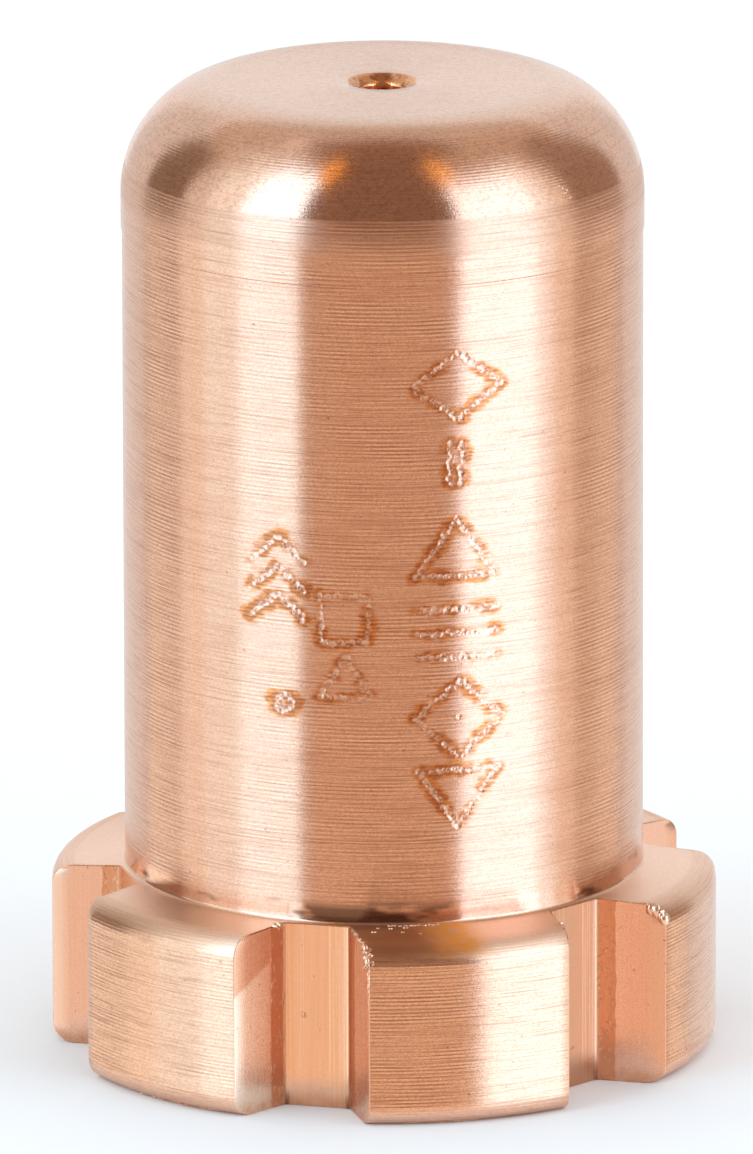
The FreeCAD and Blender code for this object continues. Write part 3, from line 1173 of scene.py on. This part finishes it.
class BurrMaker:
    """Every burr, torn lip and speck on the flange, and the nicks on the nose."""

    def __init__(self, settings):
        self.sizes = settings.sizes
        self.chance = random.Random(settings.finish.seed + 1)
        self.shape = bmesh.new()
        self.outline = LobeOutline(self.sizes)
        self.corner = self.outline.wall - self.outline.edge / 3

    def rim_corner(self, frame, side, turn):
        """A point of the corner between a lobe's wall and its rounded upper rim."""
        radius = self.outline.rim - self.sizes.rim_top * (1 - math.cos(turn))
        height = self.sizes.flange_height - self.sizes.rim_top * (1 - math.sin(turn))
        out = math.sqrt(radius * radius - side * side) - self.outline.edge / 2
        return frame.place(out, side, height)

    def corner_burr(self, lobe, side, turns, drop, reach, root):
        """A burr on a lobe's upper corner that runs down the vertical edge."""
        frame = LobeFrame(self.sizes, lobe)
        side = math.copysign(self.corner, side)
        path = [self.rim_corner(frame, side, math.radians(turn)) for turn in turns]
        if drop:
            path.append(path[-1] - frame.up * drop)
        lean = (frame.side * math.copysign(0.85, side) + frame.out * 0.5).normalized()
        torn_sliver(self.shape, path, lean, frame.up.cross(lean) + frame.up * 0.4, reach,
                    root, self.chance)

    def corner_lumps(self, lobe, side, turns, low, high):
        """Rounded lumps smeared over a lobe's upper corner, low to high in radius."""
        frame = LobeFrame(self.sizes, lobe)
        side = math.copysign(self.corner, side)
        lean = frame.side * math.copysign(0.6, side)
        for turn in turns:
            size = self.chance.uniform(low, high)
            drift = frame.out * (self.chance.uniform(-0.9, 0.2) * size)
            self.lump(self.rim_corner(frame, side, math.radians(turn)) + lean * size * 0.3
                      + drift, size, (1.0, 1.0, 1.25))

    def lump(self, place, size, stretch):
        """One uneven rounded lump."""
        made = bmesh.ops.create_icosphere(
            self.shape, subdivisions=2, radius=size,
            matrix=Matrix.Translation(place) @ Matrix.Diagonal((*stretch, 1.0)))
        for vert in made["verts"]:
            vert.co += Vector([self.chance.uniform(-LUMP_JITTER, LUMP_JITTER) * size
                               for _ in range(3)])

    def wall_lip(self, lobe, side, outs, reach, root):
        """A lip rolled over the upper edge of a slot's wall."""
        frame = LobeFrame(self.sizes, lobe)
        side = math.copysign(self.corner, side)
        path = [frame.place(out, side, self.outline.top_height(math.hypot(out, side))
                            - self.outline.edge / 3) for out in outs]
        lean = (frame.side * math.copysign(0.9, side) - frame.up * 0.35).normalized()
        torn_sliver(self.shape, path, lean, frame.up, reach, root, self.chance)

    def bottom_fringe(self, lobe, start, end, reach, root):
        """A ragged fringe on the lower rim of a lobe."""
        frame = LobeFrame(self.sizes, lobe)
        radius = self.outline.rim - self.sizes.rim_bottom * FRINGE_IN
        height = self.sizes.rim_bottom * FRINGE_UP
        path = [frame.place(radius * math.cos(turn), radius * math.sin(turn), height)
                for turn in np.linspace(math.radians(start), math.radians(end), FRINGE_POINTS)]
        lean = (frame.out * 0.9 - frame.up * 0.15).normalized()
        torn_sliver(self.shape, path, lean, frame.up, reach, root, self.chance)

    def foot_specks(self, start, end, count, spread):
        """Specks of swarf on the upper face, up to spread out from the barrel's foot."""
        barrel = self.sizes.barrel_diameter / 2
        for _ in range(count):
            turn = math.radians(self.chance.uniform(start, end)) + FRONT_ANGLE
            radius = barrel + SPECK_GAP + spread * self.chance.random()
            size = self.chance.uniform(*SPECK_SIZES) * MM
            place = Vector((radius * math.cos(turn), radius * math.sin(turn),
                            self.outline.top_height(radius)))
            self.lump(place, size, (1.7, 1.2, 0.8))

    def nose_nicks(self, around, height, run, size, count):
        """Small raised nicks in a cluster on the shoulder."""
        centre = shoulder_centre(self.sizes)
        radius = self.sizes.shoulder_radius
        for _ in range(count):
            up = height + run * self.chance.uniform(-0.5, 0.5)
            out = centre[0] + math.sqrt(radius ** 2 - (up - centre[1]) ** 2) - size * 0.3
            angle = around + FRONT_ANGLE + self.chance.uniform(-0.03, 0.03)
            place = Vector((out * math.cos(angle), out * math.sin(angle), up))
            self.lump(place, size * self.chance.uniform(0.4, 1.0), (1.2, 1.2, 0.9))

    def mesh(self, name):
        """Ends the burrs as one mesh."""
        bmesh.ops.recalc_face_normals(self.shape, faces=self.shape.faces[:])
        mesh = bpy.data.meshes.new(name)
        self.shape.to_mesh(mesh)
        self.shape.free()
        return mesh


class NOZZLE_OT_edge_burrs(bpy.types.Operator):
    """Adds the burrs and torn lips along the edges of the slots"""

    bl_idname = "nozzle.edge_burrs"
    bl_label = "Edge Burrs"

    def execute(self, context):
        settings = context.scene.nozzle
        burrs = BurrMaker(settings)
        wide = [out * MM for out in (5.95, 6.15, 6.30)]
        inner = [out * MM for out in (5.30, 5.44, 5.60)]
        long_lip = [out * MM for out in (5.32, 5.70, 6.10, 6.40)]
        burrs.corner_burr(0, -1, (82, 60, 35, 8), 0.15 * MM, 0.20 * MM, 0.16 * MM)
        burrs.corner_lumps(0, -1, range(66, 2, -4), 0.05 * MM, 0.085 * MM)
        burrs.corner_burr(0, -1, (20, 0), 0.9 * MM, 0.03 * MM, 0.03 * MM)
        burrs.wall_lip(0, -1, long_lip, 0.07 * MM, 0.035 * MM)
        burrs.corner_burr(1, -1, (70, 45, 15), 0.0, 0.12 * MM, 0.10 * MM)
        burrs.corner_lumps(1, -1, range(60, 20, -3), 0.08 * MM, 0.12 * MM)
        burrs.wall_lip(0, 1, wide, 0.06 * MM, 0.04 * MM)
        burrs.corner_burr(0, 1, (70, 40, 10), 0.2 * MM, 0.035 * MM, 0.03 * MM)
        burrs.wall_lip(-1, 1, inner, 0.13 * MM, 0.08 * MM)
        burrs.bottom_fringe(-1, -16, 15, 0.05 * MM, 0.02 * MM)
        burrs.bottom_fringe(0, -15, 2, 0.03 * MM, 0.015 * MM)
        burrs.foot_specks(-15, -3, 18, 0.06 * MM)
        burrs.foot_specks(-20, -5, 6, 0.95 * MM)
        burrs.nose_nicks(math.radians(30), 19.62 * MM, 0.35 * MM, 0.04 * MM, 9)
        mesh = burrs.mesh(BURRS)
        finish_mesh(mesh, BURR_CREASE)
        show_piece(mesh, BURRS, [burr_copper(settings.finish)])
        return {"FINISHED"}


# ---------------------------------------------------------------- the studio

SENSOR = 36.0                   # millimetres
CLIP = (0.01, 10.0)
TABLE_HALF = 4.0
PANEL_COLUMNS = 24
PANEL_ROWS = 12


def glow(name, shade):
    """A panel's own light."""
    make = Finish(name)
    light = make.node("ShaderNodeEmission", {}, {"Color": (*shade, 1.0)})
    make.node("ShaderNodeOutputMaterial", {}, {"Surface": light})
    return make.material


class Studio:
    """The pale table, the panels round it and the camera."""

    def __init__(self, settings):
        self.settings = settings.studio
        turn, lift = self.settings.azimuth, self.settings.elevation
        self.toward = Vector((math.sin(turn), -math.cos(turn), 0.0))
        self.right = Vector((math.cos(turn), math.sin(turn), 0.0))
        self.middle = Vector((0.0, 0.0, self.settings.look_height))
        self.back = self.toward * math.cos(lift) + Vector((0, 0, math.sin(lift)))

    def show(self, mesh, name, material):
        """Puts a mesh in the scene as part of the stage."""
        mesh.materials.append(material)
        shown = bpy.data.objects.new(name, mesh)
        bpy.context.scene.collection.objects.link(shown)
        return shown

    def panel(self, name, sides, heights, shade, lamp, radius):
        """Part of a dome round the nozzle: sides and heights are its limits in degrees,
        seen from the nozzle, with the camera at 0 and the right at +90. A panel that is a
        lamp also lights the table."""
        points, faces = [], []
        for row in range(PANEL_ROWS + 1):
            lift = math.radians(heights[0] + (heights[1] - heights[0]) * row / PANEL_ROWS)
            for column in range(PANEL_COLUMNS + 1):
                turn = math.radians(sides[0] + (sides[1] - sides[0]) * column / PANEL_COLUMNS)
                out = self.toward * math.cos(turn) + self.right * math.sin(turn)
                points.append(self.middle + (out * math.cos(lift)
                                             + Vector((0, 0, math.sin(lift)))) * radius)
        for row in range(PANEL_ROWS):
            for column in range(PANEL_COLUMNS):
                low = row * (PANEL_COLUMNS + 1) + column
                high = low + PANEL_COLUMNS + 1
                faces.append((low, low + 1, high + 1, high))
        mesh = bpy.data.meshes.new(name)
        mesh.from_pydata([tuple(point) for point in points], [], faces)
        shown = self.show(mesh, name, glow(name, shade))
        shown.visible_camera = False
        shown.visible_shadow = False
        shown.visible_diffuse = lamp
        shown.visible_transmission = False

    def table(self):
        """A wide pale table; the metal sees only the part near it."""
        half = TABLE_HALF
        mesh = bpy.data.meshes.new("table")
        mesh.from_pydata([(-half, -half, 0), (half, -half, 0), (half, half, 0),
                          (-half, half, 0)], [], [(0, 1, 2, 3)])
        make = Finish("pale_table")
        x, y, _ = make.position()
        reach = self.settings.table_radius / MM
        out = (x * x + y * y).root()
        rays = make.node("ShaderNodeLightPath", output="Is Glossy Ray")
        hidden = rays * out.spread(reach * 0.95, reach * 1.10)
        matt = make.node("ShaderNodeBsdfDiffuse", {}, {"Color": (0.93, 0.93, 0.93, 1.0)})
        clear = make.node("ShaderNodeBsdfTransparent")
        both = make.node("ShaderNodeMixShader", {}, {0: hidden, 1: matt, 2: clear})
        make.node("ShaderNodeOutputMaterial", {}, {"Surface": both})
        self.show(mesh, "table", make.material)

    def camera(self):
        """A long lens that looks a little down on the nozzle."""
        lens = bpy.data.cameras.new("camera")
        lens.sensor_width = SENSOR
        lens.lens = self.settings.lens
        lens.shift_x = self.settings.shift_x
        lens.shift_y = self.settings.shift_y
        lens.clip_start, lens.clip_end = CLIP
        shown = bpy.data.objects.new("camera", lens)
        bpy.context.scene.collection.objects.link(shown)
        shown.location = self.middle + self.back * self.settings.distance
        shown.rotation_mode = "QUATERNION"
        aim = (-self.back).to_track_quat("-Z", "Y")
        shown.rotation_quaternion = aim @ Quaternion((0, 0, 1), self.settings.roll)
        bpy.context.scene.camera = shown

    def world(self):
        """A plain white room."""
        world = bpy.data.worlds.new("white_room")
        world.use_nodes = True
        background = world.node_tree.nodes["Background"]
        background.inputs["Color"].default_value = (1, 1, 1, 1)
        background.inputs["Strength"].default_value = 1.0
        bpy.context.scene.world = world


# Panels: name, limits round and up in degrees, colour, whether it is a lamp. Those named
# low lie under the table's level, where only the metal sees them.
PANELS = (
    ("low_front", (-37, 34), (-60, -12), (1.05, 0.77, 0.55), False),
    ("low_left", (-112, -37), (-60, -24), (0.94, 0.93, 0.88), False),
    ("low_right", (34, 112), (-60, -32), (1.10, 1.08, 1.00), False),
    ("low_left_side", (-130, -85), (-24, -12), (1.36, 1.32, 1.20), False),
    ("low_right_side", (80, 110), (-32, -12), (1.02, 0.87, 0.73), False),
    ("low_right_edge", (110, 130), (-32, -12), (1.20, 1.09, 0.95), False),
    ("low_left_rear", (-130, -112), (-60, -24), (0.94, 0.94, 0.90), False),
    ("low_right_rear", (112, 130), (-60, -32), (0.94, 0.94, 0.90), False),
    ("low_rear", (130, 230), (-60, -12), (0.88, 0.90, 0.90), False),
    ("front_dark", (-37, 34), (-12, 74), (0.27, 0.168, 0.116), False),
    ("left_softbox_outer", (-85, -66), (-24, 53), (1.18, 1.34, 1.36), True),
    ("left_softbox_foot", (-66, -37), (-24, -6), (1.34, 1.58, 1.68), True),
    ("left_softbox", (-66, -37), (-6, 57), (1.85, 2.60, 3.20), True),
    ("left_wing", (-99, -85), (-12, 56), (0.84, 0.84, 0.78), False),
    ("left_dark", (-128, -99), (-12, 40), (0.28, 0.21, 0.155), False),
    ("left_upper", (-99, -37), (57, 70), (0.60, 0.44, 0.30), False),
    ("left_upper_rear", (-128, -99), (40, 64), (0.66, 0.58, 0.48), False),
    ("right_softbox", (34, 72), (-32, 46), (1.80, 2.18, 2.55), True),
    ("right_softbox_outer", (72, 81), (-32, 46), (1.25, 1.45, 1.55), True),
    ("right_upper", (34, 128), (50, 70), (0.55, 0.42, 0.30), False),
    ("right_wing", (81, 92), (-12, 50), (1.00, 0.94, 0.84), False),
    ("right_dark", (92, 130), (-12, 50), (0.37, 0.265, 0.195), False),
    ("rear_left", (-160, -128), (-12, 40), (0.78, 0.79, 0.78), False),
    ("rear_wall", (160, 200), (-12, 42), (0.96, 0.99, 1.00), False),
    ("rear_right", (130, 160), (-12, 40), (0.78, 0.79, 0.78), False),
    ("rear_upper", (128, 232), (42, 68), (0.66, 0.56, 0.46), False),
    ("ceiling", (0, 360), (70, 90), (0.30, 0.19, 0.125), False),
)

# Amber cards in front of the panels, given in the same way
AMBER_CARDS = (
    ("left_amber", (-42, -35), (53, 72), (2.5, 1.15, 0.02), False),
    ("right_amber", (39, 46), (52, 71), (2.5, 1.15, 0.02), False),
)


class NOZZLE_OT_studio(bpy.types.Operator):
    """Sets up the pale table, the soft panels, the white world and the camera"""

    bl_idname = "nozzle.studio"
    bl_label = "Studio"

    def execute(self, context):
        studio = Studio(context.scene.nozzle)
        studio.table()
        for panel in PANELS:
            studio.panel(*panel, studio.settings.panel_radius)
        for card in AMBER_CARDS:
            studio.panel(*card, studio.settings.card_radius)
        studio.camera()
        studio.world()
        context.scene.view_settings.view_transform = "Standard"
        return {"FINISHED"}


# ---------------------------------------------------------------- sidebar and main

class NOZZLE_PT_panel(bpy.types.Panel):
    """Lists the nozzle's settings and its steps"""

    bl_idname = "NOZZLE_PT_panel"
    bl_label = "Torch Nozzle"
    bl_space_type = "VIEW_3D"
    bl_region_type = "UI"
    bl_category = "Nozzle"

    def draw(self, context):
        settings = context.scene.nozzle
        for group in (settings.sizes, settings.finish, settings.studio):
            box = self.layout.box()
            for name in type(group).__annotations__:
                box.prop(group, name)
        for step in STEPS:
            self.layout.operator(step.bl_idname)


STEPS = (NOZZLE_OT_turned_skin, NOZZLE_OT_peened_marks, NOZZLE_OT_edge_burrs,
         NOZZLE_OT_studio)
CLASSES = (NozzleSizes, NozzleFinish, StudioSettings, NozzleSettings, *STEPS,
           NOZZLE_PT_panel)


def register():
    for item in CLASSES:
        bpy.utils.register_class(item)
    bpy.types.Scene.nozzle = PointerProperty(type=NozzleSettings)


def unregister():
    del bpy.types.Scene.nozzle
    for item in reversed(CLASSES):
        bpy.utils.unregister_class(item)


def main():
    register()
    bpy.ops.nozzle.turned_skin()
    bpy.ops.nozzle.peened_marks()
    bpy.ops.nozzle.edge_burrs()
    bpy.ops.nozzle.studio()


if __name__ == "__main__":
    main()
